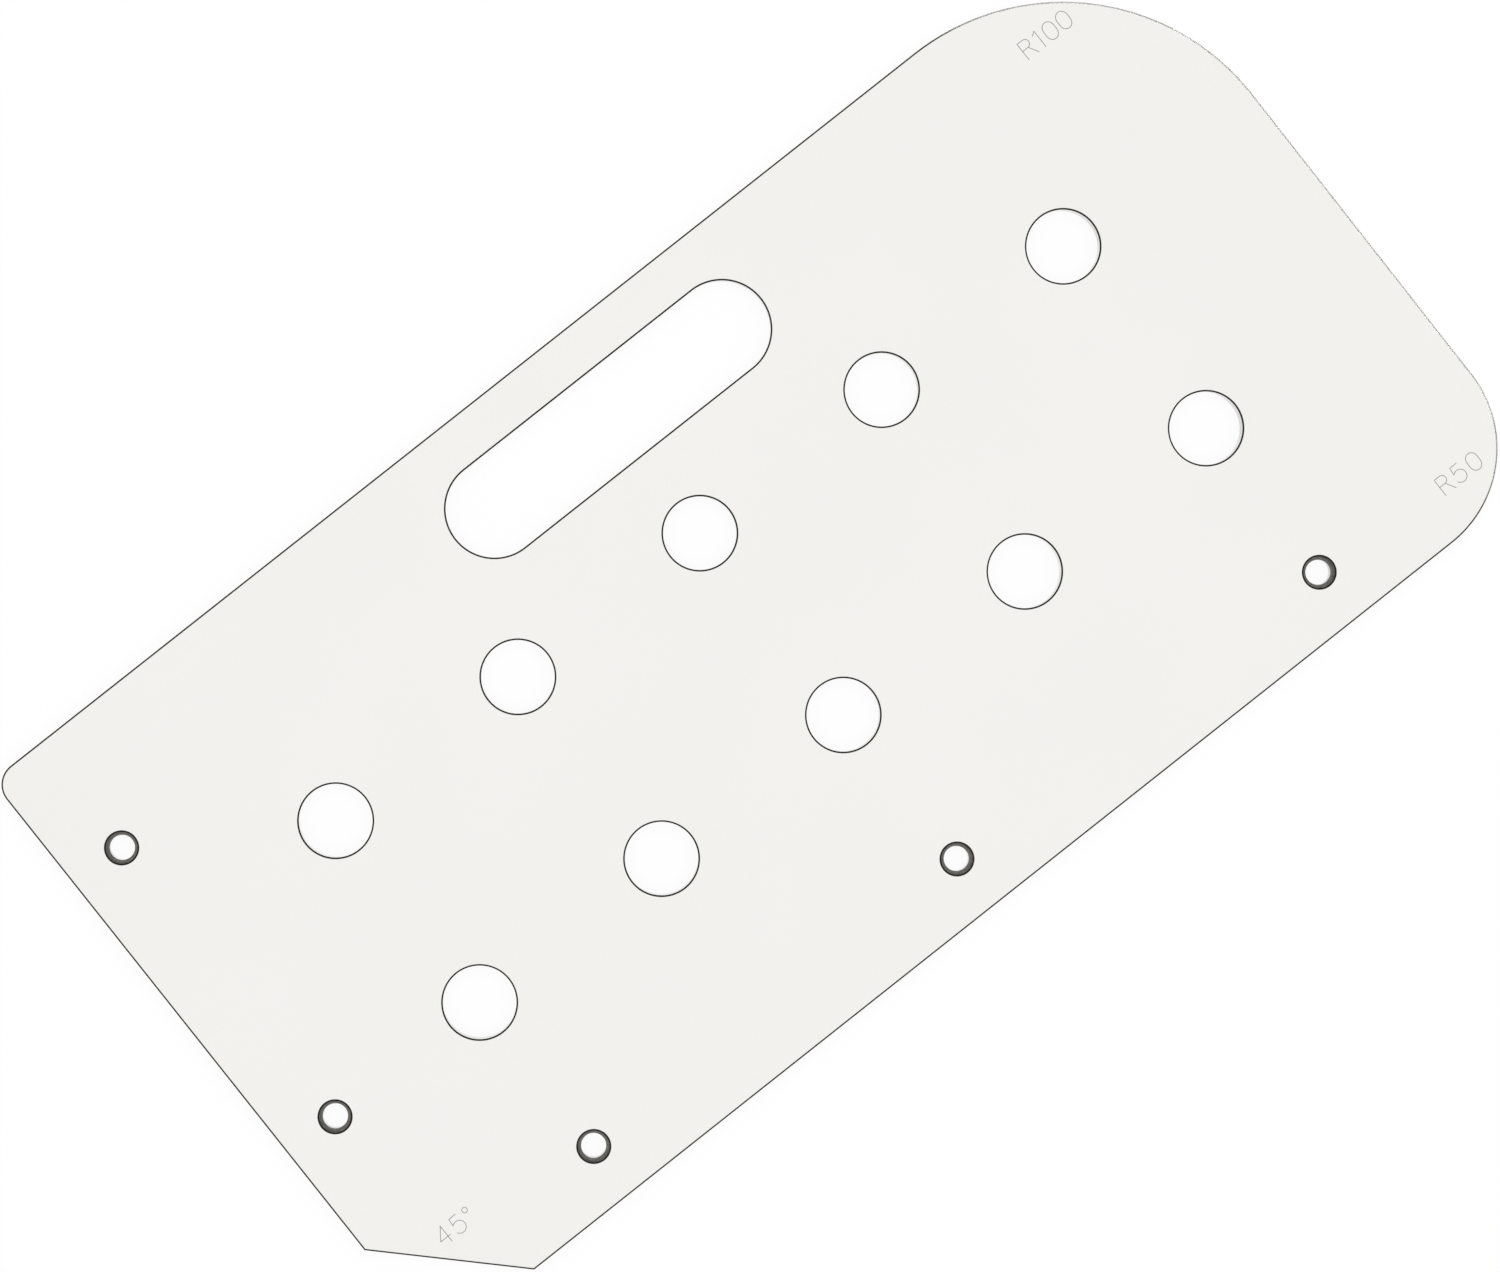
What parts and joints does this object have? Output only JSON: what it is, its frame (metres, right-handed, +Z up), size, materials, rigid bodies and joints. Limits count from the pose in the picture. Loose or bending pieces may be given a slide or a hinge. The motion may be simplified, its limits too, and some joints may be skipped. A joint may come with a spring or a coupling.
{
  "type": "worktop router jig",
  "caption": "Flat solid laminate template with two rows of guide bush holes, stepped location pin holes, a hand slot, three corner radii and a 45 degree corner.",
  "frame": {"origin": "middle of the underside, at the middle of the sheet's bounding rectangle", "axes": "+X along the sheet towards the two largest corner radii, +Y towards the hand slot, +Z up out of the recessed upper face"},
  "size_m": [0.586, 0.298, 0.0127],
  "materials": {
    "white_decor": "fine matt white melamine",
    "phenolic_core": "machined dark phenolic laminate, semi-matt"
  },
  "bodies": {
    "root": {"top_decor_sheet": "white_decor", "phenolic_core": "phenolic_core", "underside_decor_sheet": "white_decor"}
  },
  "joints": []
}
